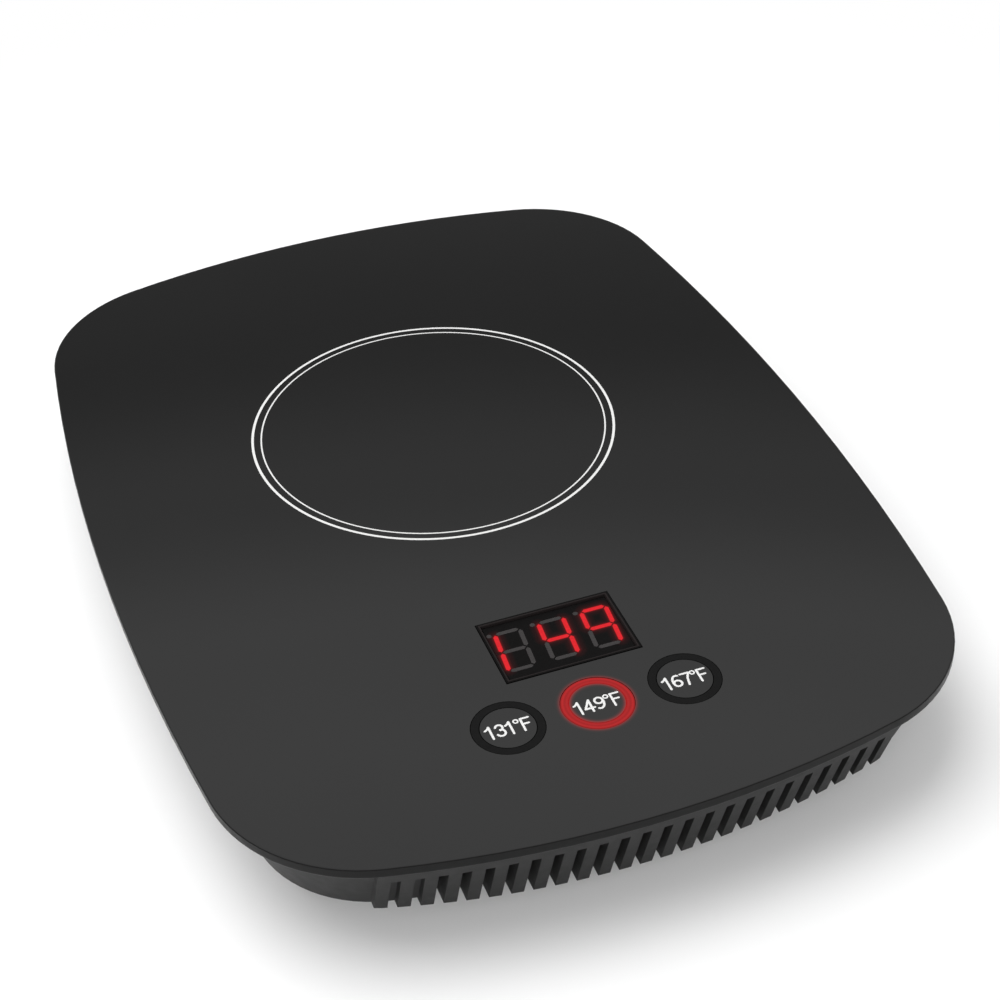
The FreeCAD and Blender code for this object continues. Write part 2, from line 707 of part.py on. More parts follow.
def control_board():
    front, rear = board_box()
    board = block(-BOARD_HALF_W, BOARD_HALF_W, front, rear, BOARD_Z, BOARD_TOP)
    places = board_posts() + [(-CARRIER_LEG_X, KEY_Y), (CARRIER_LEG_X, KEY_Y)]
    hole_r = SMALL_SCREW_R + HOLE_GAP
    return board.cut(group([cyl(hole_r, BOARD_Z - CUT, BOARD_TOP + CUT, x, y) for x, y in places]))


def board_screws(places, top, thickness, grip):
    return small_screws(places, top, thickness + grip - SCREW_END_GAP, -1)


def ring_leds():
    """Two small light-emitting chips under each ring, beside its dome."""
    chips = []
    for _, key_x in key_places():
        for side in (-1, 1):
            x = key_x + side * (DOME_BASE_R + LED_FROM_DOME)
            w = LED_W / 2
            d = LED_D / 2
            chips.append(block(x - w, x + w, KEY_Y - d, KEY_Y + d, BOARD_TOP, BOARD_TOP + LED_H))
    return group(chips)


def controller_chips():
    """The main controller and two smaller chips under the control board."""
    y = DISPLAY_Y
    return group([block(x - w, x + w, y - d, y + d, BOARD_Z - h, BOARD_Z) for x, w, d, h in CHIPS])


def power_board():
    front, rear = power_box()
    board = block(-POWER_HALF_W, POWER_HALF_W, front, rear, POWER_Z, POWER_TOP)
    hole_r = SMALL_SCREW_R + HOLE_GAP
    return board.cut(group([cyl(hole_r, POWER_Z - CUT, POWER_TOP + CUT, x, y) for x, y in power_posts()]))


def terminal_block():
    """Two wire ports in the rear face, each under a screw well."""
    _, rear = power_box()
    top = POWER_TOP + TERMINAL_H
    body = block(-TERMINAL_W / 2, TERMINAL_W / 2, rear - TERMINAL_D, rear, POWER_TOP, top)
    cuts = []
    for x in (-TERMINAL_PITCH / 2, TERMINAL_PITCH / 2):
        cuts.append(cyl_y(PORT_R, rear - PORT_DEPTH, rear + CUT, x, POWER_TOP + PORT_UP))
        cuts.append(cyl(WELL_R, top - WELL_DEPTH, top + CUT, x, rear - WELL_FROM_REAR))
    return body.cut(group(cuts))


def film_capacitor():
    y = power_box()[0] + FILM_FROM_FRONT
    body = block(FILM_X - FILM_W / 2, FILM_X + FILM_W / 2, y, y + FILM_D, POWER_TOP, POWER_TOP + FILM_H)
    return body.makeFillet(FILM_ROUND, upright_edges(body))


def lying_cylinder(radius, length, x, y):
    """A cylinder along X that lies on the power board and starts at x."""
    return Part.makeCylinder(radius, length, V(x, y, POWER_TOP + radius), V(1, 0, 0))


def smoothing_capacitor():
    can = lying_cylinder(CAN_R, CAN_L, CAN_X, power_box()[0] + CAN_FROM_FRONT)
    return can.makeFillet(CAN_ROUND, [can.Edges[0], can.Edges[2]])


def power_switch():
    """The heater's switching device, a flat package with a metal tab."""
    front = power_box()[0] + SWITCH_FROM_FRONT
    rear = front + SWITCH_D
    x0 = SWITCH_X - SWITCH_W / 2
    x1 = SWITCH_X + SWITCH_W / 2
    top = POWER_TOP + SWITCH_H
    body = block(x0, x1, front, rear, POWER_TOP, top)
    return fuse(body, block(x0, x1, rear - SWITCH_TAB_T, rear, top, top + SWITCH_TAB_UP))


def mains_fuse():
    """A tube with a metal cap at each end."""
    y = power_box()[1] - FUSE_FROM_REAR
    axis = V(1, 0, 0)
    start = V(FUSE_X, y, POWER_TOP + FUSE_CAP_R)
    tube = Part.makeCylinder(FUSE_R, FUSE_L, start, axis)
    ends = (start, start + axis * (FUSE_L - FUSE_CAP_L))
    caps = [Part.makeCylinder(FUSE_CAP_R, FUSE_CAP_L, end, axis) for end in ends]
    return fuse(tube, *caps)


def varistor():
    y = power_box()[1] - VARISTOR_FROM_REAR
    return Part.makeCylinder(VARISTOR_R, VARISTOR_T, V(VARISTOR_X, y, POWER_TOP + VARISTOR_R), V(0, -1, 0))


def stud_places():
    step = 360.0 / STUD_COUNT
    angles = [math.radians(step * (i + 0.5)) for i in range(STUD_COUNT)]
    return [(STUD_RING_R * math.cos(a), HEAT_Y + STUD_RING_R * math.sin(a)) for a in angles]


def heat_levels():
    """Heights of the undersides of the bond, spreader, heater, pad and clamp, going down."""
    levels = []
    z = PLATE_Z
    for thickness in (BOND_T, SPREADER_T, HEATER_T, PAD_T, CLAMP_T):
        z -= thickness
        levels.append(z)
    return levels


def heat_bond():
    return cyl(SPREADER_R, heat_levels()[0], PLATE_Z, 0, HEAT_Y)


def heat_spreader():
    top, low, _, stud_z, _ = heat_levels()
    disc = cyl(SPREADER_R, low, top, 0, HEAT_Y)
    studs = [cyl(STUD_R, stud_z, low, x, y) for x, y in stud_places()]
    hole_r = SMALL_SCREW_R + HOLE_GAP
    threads = [cyl(hole_r, stud_z - CUT, stud_z + SMALL_GRIP, x, y) for x, y in stud_places()]
    return fuse(disc, *studs).cut(group(threads))


def stud_holes(low, high):
    return [cyl(STUD_R + STUD_GAP, low - CUT, high + CUT, x, y) for x, y in stud_places()]


def heater_element():
    _, top, low, _, _ = heat_levels()
    disc = cyl(HEATER_R, low, top, 0, HEAT_Y)
    edge = HEAT_Y + HEATER_R
    w = TAB_W / 2
    tabs = [block(x - w, x + w, edge - TAB_ROOT, edge + TAB_L, low, top) for x in (-TAB_X, TAB_X)]
    return fuse(disc, *tabs).cut(group(stud_holes(low, top)))


def insulation_pad():
    _, _, top, low, _ = heat_levels()
    holes = stud_holes(low, top) + [cyl(SENSOR_R + STUD_GAP, low - CUT, top + CUT, 0, HEAT_Y)]
    return cyl(HEATER_R, low, top, 0, HEAT_Y).cut(group(holes))


def heater_clamp():
    """A steel spider: a hub with one arm to each stud."""
    _, _, _, top, low = heat_levels()
    arms = [cyl(CLAMP_HUB_R, low, top, 0, HEAT_Y)]
    for x, y in stud_places():
        angle = math.degrees(math.atan2(y - HEAT_Y, x))
        arm = block(0, CLAMP_R, -CLAMP_ARM / 2, CLAMP_ARM / 2, low, top)
        arm.rotate(V(0, 0, 0), V(0, 0, 1), angle)
        arm.translate(V(0, HEAT_Y, 0))
        arms.append(arm)
    reach = CUTOFF_X + CUTOFF_R + STRAP_EAR
    arms.append(block(0, reach, HEAT_Y - STRAP_L / 2, HEAT_Y + STRAP_L / 2, low, top))
    holes = [cyl(SMALL_SCREW_R + HOLE_GAP, low - CUT, top + CUT, x, y) for x, y in stud_places()]
    holes.append(cyl(SENSOR_R + STUD_GAP, low - CUT, top + CUT, 0, HEAT_Y))
    return fuse(arms[0], *arms[1:]).cut(group(holes))


def clamp_screws():
    return small_screws(stud_places(), heat_levels()[4], CLAMP_T + SMALL_GRIP - SCREW_END_GAP, 1)


def thermistor():
    top = heat_levels()[2]
    return cyl(SENSOR_R, top - SENSOR_H, top, 0, HEAT_Y)


def thermal_cutoff():
    z = heat_levels()[4] - CUTOFF_R
    return cyl_y(CUTOFF_R, HEAT_Y - CUTOFF_L / 2, HEAT_Y + CUTOFF_L / 2, CUTOFF_X, z)


def cutoff_strap():
    """A bent strip that holds the cut-off up against the clamp."""
    top = heat_levels()[4]
    r = CUTOFF_R + STRAP_T
    y0 = HEAT_Y - STRAP_L / 2
    y1 = HEAT_Y + STRAP_L / 2
    saddle = cyl_y(r, y0, y1, CUTOFF_X, top - CUTOFF_R)
    saddle = fuse(saddle, block(CUTOFF_X - r, CUTOFF_X + r, y0, y1, top - CUTOFF_R, top))
    ears = block(CUTOFF_X - r - STRAP_TAB, CUTOFF_X + r, y0, y1, top - STRAP_T, top)
    inner = CUTOFF_R + STRAP_GAP
    bore = cyl_y(inner, y0 - CUT, y1 + CUT, CUTOFF_X, top - CUTOFF_R)
    mouth = block(CUTOFF_X - inner, CUTOFF_X + inner, y0 - CUT, y1 + CUT, top - CUTOFF_R, top + CUT)
    return fuse(saddle, ears).cut(fuse(bore, mouth))


def route_tube(points, radius, share=0.45):
    """A round lead along straight runs joined by tangent arcs, each as large as its runs allow."""
    edges = []
    start = points[0]
    for before, corner, after in zip(points, points[1:], points[2:]):
        into = V(corner - before).normalize()
        out = V(after - corner).normalize()
        cut = share * min((corner - before).Length, (after - corner).Length)
        first = corner - into * cut
        last = corner + out * cut
        half_turn = into.getAngle(out) / 2
        arc_r = cut / math.tan(half_turn)
        centre = corner + (out - into).normalize() * (arc_r / math.cos(half_turn))
        middle = centre + (corner - centre).normalize() * arc_r
        edges.append(Part.LineSegment(start, first).toShape())
        edges.append(Part.Arc(first, middle, last).toShape())
        start = last
    edges.append(Part.LineSegment(start, points[-1]).toShape())
    path = Part.Wire(edges)
    section = Part.Wire(Part.makeCircle(radius, points[0], V(points[1] - points[0]).normalize()))
    return path.makePipeShell([section], True, False)


def harness_ends():
    """Where the harness leaves the control board's socket and enters the power board's."""
    _, rear = board_box()
    front, _ = power_box()
    return rear, front


def harness_sockets():
    rear, front = harness_ends()
    sockets = []
    for x, d0, d1, z0, z1 in (
        (HARNESS_X, rear - SOCKET_D, rear, BOARD_Z - SOCKET_H, BOARD_Z),
        (0.0, rear - SOCKET_D, rear, BOARD_Z - SOCKET_H, BOARD_Z),
        (HARNESS_X, front, front + SOCKET_D, POWER_TOP, POWER_TOP + SOCKET_H),
    ):
        sockets.append(block(x - SOCKET_W / 2, x + SOCKET_W / 2, d0, d1, z0, z1))
    return group(sockets)


def board_harness():
    rear, front = harness_ends()
    end_z = POWER_TOP + SOCKET_H / 2
    stations = (
        (rear, LEAD_Z), (front - HARNESS_BEND_FROM, LEAD_Z), (front - HARNESS_BEND_TO, end_z), (front, end_z),
    )
    return route_tube([V(HARNESS_X, y, z) for y, z in stations], HARNESS_R)


def sensor_leads():
    rear, _ = harness_ends()
    top = heat_levels()[2] - SENSOR_H
    return route_tube([V(0, HEAT_Y, top), V(0, HEAT_Y, LEAD_Z), V(0, rear, LEAD_Z)], SENSOR_LEAD_R)


def heater_leads():
    front, _ = power_box()
    start = HEAT_Y + HEATER_R + TAB_L
    z = (heat_levels()[1] + heat_levels()[2]) / 2
    land = front + HEATER_LAND_IN
    leads = []
    for x in (-TAB_X, TAB_X):
        leads.append(route_tube([V(x, start, z), V(x, land, z), V(x, land, POWER_TOP)], HEATER_LEAD_R))
    return group(leads)


def nodes():
    """Every separate piece of the object by name."""
    made = {
        "glass_plate": glass_plate(),
        "plate_tape": plate_tape(),
        "case": case(),
        "bottom_cover": bottom_cover(),
        "cover_screws": cover_screws(),
        "cord_gland": cord_gland(),
        "cord_clamp": cord_clamp(),
        "cord_clamp_screws": clamp_bar_screws(),
        "key_carrier": key_carrier(),
        "carrier_screws": carrier_screws(),
        "display_bezel": display_bezel(),
        "display_module": display_module(),
        "display_segments_lit": display_segments(True),
        "display_segments_unlit": display_segments(False),
        "control_board": control_board(),
        "control_board_screws": board_screws(board_posts(), BOARD_TOP, BOARD_T, SMALL_GRIP),
        "ring_leds": ring_leds(),
        "controller_chips": controller_chips(),
        "harness_sockets": harness_sockets(),
        "board_harness": board_harness(),
        "power_board": power_board(),
        "power_board_screws": board_screws(power_posts(), POWER_TOP, POWER_T, POWER_POST_H),
        "terminal_block": terminal_block(),
        "film_capacitor": film_capacitor(),
        "smoothing_capacitor": smoothing_capacitor(),
        "power_switch": power_switch(),
        "mains_fuse": mains_fuse(),
        "varistor": varistor(),
        "heat_bond": heat_bond(),
        "heat_spreader": heat_spreader(),
        "heater_element": heater_element(),
        "insulation_pad": insulation_pad(),
        "heater_clamp": heater_clamp(),
        "heater_clamp_screws": clamp_screws(),
        "thermistor": thermistor(),
        "thermal_cutoff": thermal_cutoff(),
        "cutoff_strap": cutoff_strap(),
        "sensor_leads": sensor_leads(),
        "heater_leads": heater_leads(),
    }
    for place, (x, y) in zip(("front_left", "rear_left", "front_right", "rear_right"), feet_places()):
        made["foot_" + place] = foot(x, y)
    for name, x in key_places():
        made["light_ring_" + name] = light_ring(x)
        made["key_cap_" + name] = key_cap(x)
        made["key_dome_" + name] = key_dome(x)
    return made


def main():
    os.makedirs("parts", exist_ok=True)
    for name, shape in nodes().items():
        shape.exportStep(f"parts/{name}.step")
        box = shape.BoundBox
        low = [round(v, 2) for v in (box.XMin, box.YMin, box.ZMin)]
        high = [round(v, 2) for v in (box.XMax, box.YMax, box.ZMax)]
        print(name, "solids", len(shape.Solids), "valid", shape.isValid(), low, high, round(shape.Volume, 1))


main()
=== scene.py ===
import json
import math

import bpy
from mathutils import Matrix, Vector
from mathutils.bvhtree import BVHTree

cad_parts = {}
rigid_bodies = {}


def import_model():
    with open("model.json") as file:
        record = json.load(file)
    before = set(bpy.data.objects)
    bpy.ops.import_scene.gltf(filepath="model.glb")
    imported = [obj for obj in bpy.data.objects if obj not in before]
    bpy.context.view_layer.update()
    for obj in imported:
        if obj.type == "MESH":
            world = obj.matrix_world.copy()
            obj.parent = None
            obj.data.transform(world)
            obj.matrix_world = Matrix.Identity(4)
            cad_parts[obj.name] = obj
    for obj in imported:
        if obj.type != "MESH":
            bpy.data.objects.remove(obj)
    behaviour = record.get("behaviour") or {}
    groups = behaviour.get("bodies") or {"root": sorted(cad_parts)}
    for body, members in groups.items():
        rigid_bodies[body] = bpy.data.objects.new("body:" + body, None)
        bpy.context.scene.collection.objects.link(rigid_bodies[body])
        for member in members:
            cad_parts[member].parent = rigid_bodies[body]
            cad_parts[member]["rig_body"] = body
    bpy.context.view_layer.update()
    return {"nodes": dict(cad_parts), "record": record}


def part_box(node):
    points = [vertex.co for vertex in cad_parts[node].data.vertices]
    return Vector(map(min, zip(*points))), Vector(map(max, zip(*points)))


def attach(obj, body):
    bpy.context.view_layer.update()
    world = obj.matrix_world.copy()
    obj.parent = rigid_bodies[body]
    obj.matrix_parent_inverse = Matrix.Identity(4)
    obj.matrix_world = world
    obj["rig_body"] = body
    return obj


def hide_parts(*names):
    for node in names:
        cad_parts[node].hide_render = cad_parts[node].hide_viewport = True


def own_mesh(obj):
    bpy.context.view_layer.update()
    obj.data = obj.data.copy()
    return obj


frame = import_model()

MM = 0.001
BLACK = (0, 0, 0, 1)
WHITE = (1, 1, 1, 1)

# Places taken from the CAD nodes.
PLATE_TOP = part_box("glass_plate")[1].z
KEYS = ("131", "149", "167")
LIT_KEY = "149"
KEY_CENTRE = {k: sum(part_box("key_cap_" + k), Vector()) / 2 for k in KEYS}
HEAT_CENTRE = sum(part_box("heat_spreader"), Vector()) / 2
BEZEL_LOW, BEZEL_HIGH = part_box("display_bezel")

# How a CAD node's copy is finished: points nearer than this are one, faces this near to flat are one,
# and edges sharper than this stay edges.
MERGE_DISTANCE = 0.002 * MM
FLAT_WITHIN = math.radians(0.3)
SHARP_FROM = math.radians(35)

# Rounds on the moulded pieces' edges.
SHELL_ROUND = 0.12 * MM
GLAND_ROUND = 0.15 * MM
BEZEL_ROUND = 0.04 * MM
CAP_ROUND = 0.06 * MM
RING_ROUND = 0.04 * MM

# A face of the plate whose normal rises less than this belongs to its ground edge.
EDGE_FACE_RISE = 0.75

# The circles printed on the glass.
INK_T = 0.02 * MM
CIRCLE_OUTER_R = 30.88 * MM
CIRCLE_OUTER_W = 0.43 * MM
CIRCLE_INNER_R = 29.4 * MM
CIRCLE_INNER_W = 0.25 * MM
CIRCLE_SIDES = 256

# The temperatures printed on the keys: height, width over the drawn one, stroke, the degree sign's share
# of that stroke, and the foot of the characters from the key's middle.
LEGEND_H = 2.7 * MM
LEGEND_STRETCH = 1.05
LEGEND_W = 0.38 * MM
DEGREE_WEIGHT = 0.7
LEGEND_BASE = -1.6 * MM

# The runs of an arc and of the degree sign, and the angles of the points on a stroke's round end.
ARC_STEPS = 18
DEGREE_STEPS = 16
STROKE_END_DEG = (5, 25, 45, 65)

# The red light in the lit key's ring, by radius from the key's centre; the same band is painted as red glow
# on the glass and the key caps.
GLOW_INNER_R = 3.3 * MM
GLOW_OUTER_R = 6.2 * MM

# The display: the lit bars' light is painted as a red glow a little over the face, and its frame has painted
# shade along its outer edge.
FACE_PITCH = 0.2 * MM
PAINTED_GLOW_REACH = 1.3 * MM
FRAME_GAP_SHADE_W = 0.3 * MM
FRAME_GAP_SHADE_BLUR = 0.045 * MM

# Patches of colour and of roughness, in grains, and the part of the noise that they use.
COLOUR_PATCH = 6
ROUGH_PATCH = 9
NOISE_LOW = 0.3
NOISE_HIGH = 0.7

# How far apart the lathe left its rings on the heat spreader.
TURNING_PITCH = 0.35 * MM

# The floor, in metres: round the object it is paper, with a little white painted over its shadow, and further
# out it turns plain white to the camera.
FLOOR_R = 3.0
FLOOR_SIDES = 96
FLOOR_PATCH = 0.4
FADE_FROM = 0.09
FADE_TO = 0.24
PAINTED_FLOOR_LIFT = 0.15

# The lamps' places, sides and powers, and the world's even light.
LAMPS = {
    "top_softbox": ((-0.25, 0.25, 0.9), 0.9, 9.0),
    "front_softbox": ((-0.5, -0.9, 0.5), 0.6, 3.0),
}
AMBIENT = 0.55

# The grey that gloss sees, by the height of the direction.
BACKDROP = ((0.0, 1.0), (0.3, 0.5), (0.545, 0.17), (0.6, 0.36), (0.655, 0.66), (0.7, 0.75))

# The camera, found by fitting the plate's outline and its printed marks to the photograph.
SENSOR_MM = 36.0
LENS_MM = 76.497
LENS_SHIFT = (0.0059, 0.0003)
SEES_FROM = 0.01
SEES_TO = 20.0
CAMERA_PLACE = (-84.24 * MM, -269.51 * MM, 229.16 * MM)
CAMERA_RIGHT = (0.9392695, -0.3413360, -0.0355327)
CAMERA_UP = (0.2346451, 0.5632058, 0.7923010)
CAMERA_BACK = (-0.2504286, -0.7525218, 0.6090948)


def srgb(code):
    """Linear colour from an sRGB hex code."""
    parts = [int(code[i:i + 2], 16) / 255 for i in (1, 3, 5)]
    return (*[c / 12.92 if c <= 0.04045 else ((c + 0.055) / 1.055) ** 2.4 for c in parts], 1)


def add(tree, kind, inputs=None, stops=(), **settings):
    """Adds a node with its settings; an input is a number, a colour, or another node's output.

    The stops of a colour ramp are (position, linear colour)."""
    made = tree.nodes.new(kind)
    for index, (position, colour) in enumerate(stops):
        elements = made.color_ramp.elements
        element = elements[index] if index < len(elements) else elements.new(position)
        element.position = position
        element.color = colour
    for name, value in settings.items():
        setattr(made, name, value)
    for name, value in (inputs or {}).items():
        if isinstance(value, bpy.types.NodeSocket):
            tree.links.new(value, made.inputs[name])
        else:
            made.inputs[name].default_value = value
    return made


def new_material(name):
    """A material with an empty tree, and its Object coordinates."""
    material = bpy.data.materials.new(name)
    material.use_nodes = True
    tree = material.node_tree
    tree.nodes.clear()
    return material, tree, add(tree, "ShaderNodeTexCoord").outputs["Object"]


def mottle(tree, place, base, grain, spread):
    """The base colour, a little lighter and darker in patches of the grain's size."""
    noise = add(tree, "ShaderNodeTexNoise", {"Vector": place, "Scale": 1 / grain, "Detail": 4.0})
    dark = [c * (1 - spread) for c in base[:3]] + [1]
    light = [c * (1 + spread) for c in base[:3]] + [1]
    stops = ((NOISE_LOW, dark), (NOISE_HIGH, light))
    return add(tree, "ShaderNodeValToRGB", {"Fac": noise.outputs["Fac"]}, stops).outputs["Color"]


def rough_patches(tree, place, grain, low, high):
    """Roughness that wanders between two values in patches of the grain's size."""
    noise = add(tree, "ShaderNodeTexNoise", {"Vector": place, "Scale": 1 / grain, "Detail": 3.0})
    wander = add(tree, "ShaderNodeMapRange", {
        "Value": noise.outputs["Fac"], "From Min": NOISE_LOW, "From Max": NOISE_HIGH,
        "To Min": low, "To Max": high,
    })
    return wander.outputs["Result"]


def grain_bump(tree, place, grain, depth):
    """Bumps of the grain's size and depth, in metres."""
    noise = add(tree, "ShaderNodeTexNoise", {"Vector": place, "Scale": 1 / grain, "Detail": 2.0})
    bump = add(tree, "ShaderNodeBump", {
        "Height": noise.outputs["Fac"], "Distance": depth, "Strength": 1.0,
    })
    return bump.outputs["Normal"]


def finish_of(name, colour, grain, depth, low, high, spread=0.12, **shader):
    """A material with patchy colour and roughness and a bump, all scaled from its real grain.

    Its roughness wanders from low to high, and the other settings go to the shader as they are."""
    material, tree, place = new_material(name)
    surface = add(tree, "ShaderNodeBsdfPrincipled", {
        "Base Color": mottle(tree, place, srgb(colour), COLOUR_PATCH * grain, spread),
        "Roughness": rough_patches(tree, place, ROUGH_PATCH * grain, low, high),
        "Normal": grain_bump(tree, place, grain, depth),
        **shader,
    })
    add(tree, "ShaderNodeOutputMaterial", {"Surface": surface.outputs["BSDF"]})
    return material


def radius_from(tree, place, centre):
    """Distance in the plane from a vertical axis through the centre."""
    flat = add(tree, "ShaderNodeVectorMath", {0: place, 1: (1, 1, 0)}, operation="MULTIPLY")
    ends = {0: flat.outputs["Vector"], 1: (centre.x, centre.y, 0)}
    return add(tree, "ShaderNodeVectorMath", ends, operation="DISTANCE").outputs["Value"]


def ring_light_and_painted_glow(tree, place):
    """Red light by distance from the lit key's middle: a band with soft edges and a faint double rim. On the
    light guide it is the chips' own light; on the glass and the key caps it is painted red glow.
    """
    radius = radius_from(tree, place, KEY_CENTRE[LIT_KEY])
    across = add(tree, "ShaderNodeMapRange", {
        "Value": radius, "From Min": GLOW_INNER_R, "From Max": GLOW_OUTER_R,
    })
    light = add(tree, "ShaderNodeValToRGB", {"Fac": across.outputs["Result"]}, (
        (0.0, BLACK), (0.069, srgb("#1a0404")), (0.138, srgb("#360808")), (0.207, srgb("#641011")),
        (0.259, srgb("#841517")), (0.31, srgb("#9c1a1b")), (0.397, srgb("#b02022")), (0.517, srgb("#9f1a1c")),
        (0.628, srgb("#b82224")), (0.719, srgb("#941819")), (0.81, srgb("#560f10")), (0.9, srgb("#240505")),
        (1.0, BLACK),
    ))
    return light.outputs["Color"]


def toughened_glass():
    """Clear glass backed with black enamel: a deep black under one sharp reflection, with the lit ring's red
    light painted on as glow near the lit key.
    """
    material, tree, place = new_material("toughened_glass_black_enamel")
    # The emission paints the lit ring's red glow onto the glass and onto the key caps that share this finish.
    surface = add(tree, "ShaderNodeBsdfPrincipled", {
        "Base Color": mottle(tree, place, srgb("#121212"), grain=25 * MM, spread=0.05),
        "Roughness": rough_patches(tree, place, grain=18 * MM, low=0.035, high=0.06),
        "IOR": 1.52,
        "Emission Color": ring_light_and_painted_glow(tree, place),
        "Emission Strength": 1.0,
    })
    add(tree, "ShaderNodeOutputMaterial", {"Surface": surface.outputs["BSDF"]})
    return material


def ground_glass_edge():
    """The plate's edge, ground and seamed but not polished: a darker, softer band below the top."""
    return finish_of("toughened_glass_ground_edge", "#121212", grain=0.15 * MM, depth=0.003 * MM, low=0.3,
                     high=0.42, spread=0.08, **{"IOR": 1.52, "Specular IOR Level": 0.12})


def smoked_polycarbonate():
    """Smoked light guide, matt against the glass: it reads as a soft black ring."""
    return finish_of("smoked_polycarbonate_matt", "#121212", grain=0.12 * MM, depth=0.002 * MM, low=0.5,
                     high=0.62, spread=0.06, **{"IOR": 1.58, "Specular IOR Level": 0.06})


def lit_polycarbonate():
    """The same light guide with the red chips on under it."""
    material, tree, place = new_material("smoked_polycarbonate_lit_red")
    surface = add(tree, "ShaderNodeBsdfPrincipled", {
        "Base Color": mottle(tree, place, srgb("#160a0a"), grain=0.6 * MM, spread=0.2),
        "Roughness": rough_patches(tree, place, grain=0.8 * MM, low=0.5, high=0.62),
        "IOR": 1.58,
        "Specular IOR Level": 0.1,
        "Emission Color": ring_light_and_painted_glow(tree, place),
        "Emission Strength": 1.0,
    })
    add(tree, "ShaderNodeOutputMaterial", {"Surface": surface.outputs["BSDF"]})
    return material


def white_enamel():
    """Fired white ink: a flat white that is slightly uneven in density."""
    material, tree, place = new_material("white_enamel_ink")
    surface = add(tree, "ShaderNodeBsdfPrincipled", {
        "Base Color": mottle(tree, place, srgb("#d9d9d8"), grain=0.4 * MM, spread=0.05),
        "Roughness": rough_patches(tree, place, grain=0.5 * MM, low=0.4, high=0.55),
        "IOR": 1.5,
    })
    add(tree, "ShaderNodeOutputMaterial", {"Surface": surface.outputs["BSDF"]})
    return material


def lit_bar_resin():
    """Diffusing resin with a red chip on behind it: an even red, a little uneven from its filler."""
    material, tree, place = new_material("diffusing_resin_lit_red")
    surface = add(tree, "ShaderNodeBsdfPrincipled", {
        "Base Color": srgb("#2a0606"),
        "Roughness": rough_patches(tree, place, grain=0.5 * MM, low=0.5, high=0.65),
        "IOR": 1.5,
        "Specular IOR Level": 0.1,
        "Emission Color": mottle(tree, place, srgb("#dd222b"), grain=0.35 * MM, spread=0.12),
        "Emission Strength": 1.0,
    })
    add(tree, "ShaderNodeOutputMaterial", {"Surface": surface.outputs["BSDF"]})
    return material


def unlit_bar_resin():
    """The same resin with its chip off: a dull mid grey."""
    return finish_of("diffusing_resin_grey", "#373535", grain=0.06 * MM, depth=0.001 * MM, low=0.5, high=0.65,
                     spread=0.1, **{"IOR": 1.5, "Specular IOR Level": 0.1})


def display_face():
    """Black-printed module face, with the lit bars' red light painted on it as a dark red glow close by."""
    material, tree, place = new_material("printed_face_black")
    away = add(tree, "ShaderNodeAttribute", attribute_name="lit_distance").outputs["Fac"]
    share = add(tree, "ShaderNodeMapRange", {"Value": away, "From Max": PAINTED_GLOW_REACH})
    # Painted red glow, strongest next to the lit bars and fading out within a little over a millimetre.
    painted_red_glow = add(tree, "ShaderNodeValToRGB", {"Fac": share.outputs["Result"]}, (
        (0.0, srgb("#7c0c0e")), (0.12, srgb("#480709")), (0.35, srgb("#230405")), (1.0, BLACK),
    ))
    surface = add(tree, "ShaderNodeBsdfPrincipled", {
        "Base Color": mottle(tree, place, srgb("#0c0b0b"), grain=0.5 * MM, spread=0.1),
        "Roughness": rough_patches(tree, place, grain=0.8 * MM, low=0.35, high=0.5),
        "IOR": 1.5,
        "Specular IOR Level": 0.06,
        "Emission Color": painted_red_glow.outputs["Color"],
        "Emission Strength": 1.0,
    })
    add(tree, "ShaderNodeOutputMaterial", {"Surface": surface.outputs["BSDF"]})
    return material


def display_frame():
    """Black ABS frame: a slightly greyer inner rim, and a matt black outer edge that is painted shade for the
    gap round the frame.
    """
    material, tree, place = new_material("abs_frame_black")
    middle = (BEZEL_LOW + BEZEL_HIGH) / 2
    half = (BEZEL_HIGH - BEZEL_LOW) / 2
    offset = add(tree, "ShaderNodeVectorMath", {0: place, 1: middle}, operation="SUBTRACT")
    outward = add(tree, "ShaderNodeVectorMath", {0: offset.outputs["Vector"]}, operation="ABSOLUTE")
    beyond = add(tree, "ShaderNodeVectorMath", {0: outward.outputs["Vector"], 1: half}, operation="SUBTRACT")
    sides = add(tree, "ShaderNodeSeparateXYZ", {"Vector": beyond.outputs["Vector"]})
    edge = add(tree, "ShaderNodeMath", {0: sides.outputs["X"], 1: sides.outputs["Y"]}, operation="MAXIMUM")
    # Painted shade: the frame's outer band is darkened to stand for the gap round it.
    dark = add(tree, "ShaderNodeMapRange", {
        "Value": edge.outputs["Value"],
        "From Min": -FRAME_GAP_SHADE_W - FRAME_GAP_SHADE_BLUR,
        "From Max": -FRAME_GAP_SHADE_W + FRAME_GAP_SHADE_BLUR,
    })
    shades = {"Factor": dark.outputs["Result"], "A": srgb("#201c1c"), "B": srgb("#070606")}
    colour = add(tree, "ShaderNodeMix", shades, data_type="RGBA")
    surface = add(tree, "ShaderNodeBsdfPrincipled", {
        "Base Color": colour.outputs["Result"],
        "Roughness": rough_patches(tree, place, grain=0.8 * MM, low=0.45, high=0.6),
        "IOR": 1.52,
        "Specular IOR Level": 0.08,
        "Normal": grain_bump(tree, place, grain=0.15 * MM, depth=0.003 * MM),
    })
    add(tree, "ShaderNodeOutputMaterial", {"Surface": surface.outputs["BSDF"]})
    return material


